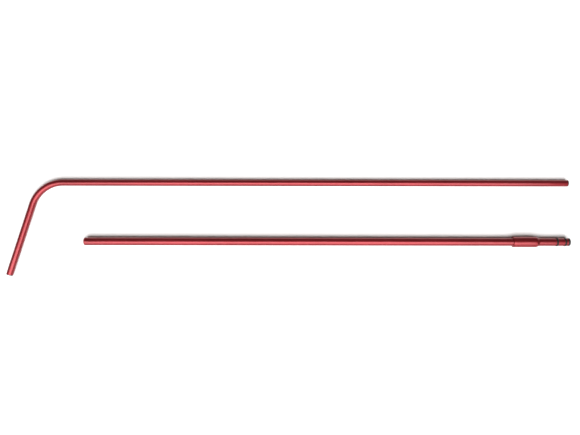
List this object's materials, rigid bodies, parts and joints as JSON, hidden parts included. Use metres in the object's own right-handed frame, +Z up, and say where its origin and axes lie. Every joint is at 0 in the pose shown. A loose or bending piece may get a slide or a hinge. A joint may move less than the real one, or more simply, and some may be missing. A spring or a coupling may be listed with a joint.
{
  "type": "aircraft tow bar",
  "caption": "Take-apart hand tow bar: a bent tube whose leg fits a hollow nose wheel axle, and a straight tube with a ringed socket end and a sliding lock sleeve.",
  "frame": {"origin": "bottom centre of the whole part, on the surface that it lies on", "axes": "+X along both tubes towards the open mouth of the straight section, +Y towards the bent section, +Z up"},
  "size_m": [1.347, 0.232, 0.0254],
  "materials": {
    "red_anodised_tube": "satin red anodised, drawn tube",
    "red_anodised_sleeve": "satin red anodised, turned",
    "black_rubber": "matte",
    "black_nylon": "satin moulded",
    "red_plug": "satin moulded"
  },
  "bodies": {
    "straight_section": {"straight_tube": "red_anodised_tube", "handle_end_plug": "red_plug", "grip_ring_inner": "black_rubber", "grip_ring_outer": "black_rubber", "tip_bumper": "black_rubber"},
    "lock_sleeve": {"lock_sleeve": "red_anodised_sleeve", "sleeve_friction_ring": "black_rubber"},
    "bent_section": {"bent_tube": "red_anodised_tube", "leg_end_plug": "black_nylon", "tail_end_plug": "black_nylon"}
  },
  "joints": [
    {"name": "sleeve_slide", "type": "slide", "parent": "straight_section", "child": "lock_sleeve", "axis": [1, 0, 0], "range_m": [0, 0.07]},
    {"name": "section_lift", "type": "slide", "parent": "straight_section", "child": "bent_section", "axis": [0, 0, 1], "range_m": [0, 0.15]}
  ]
}
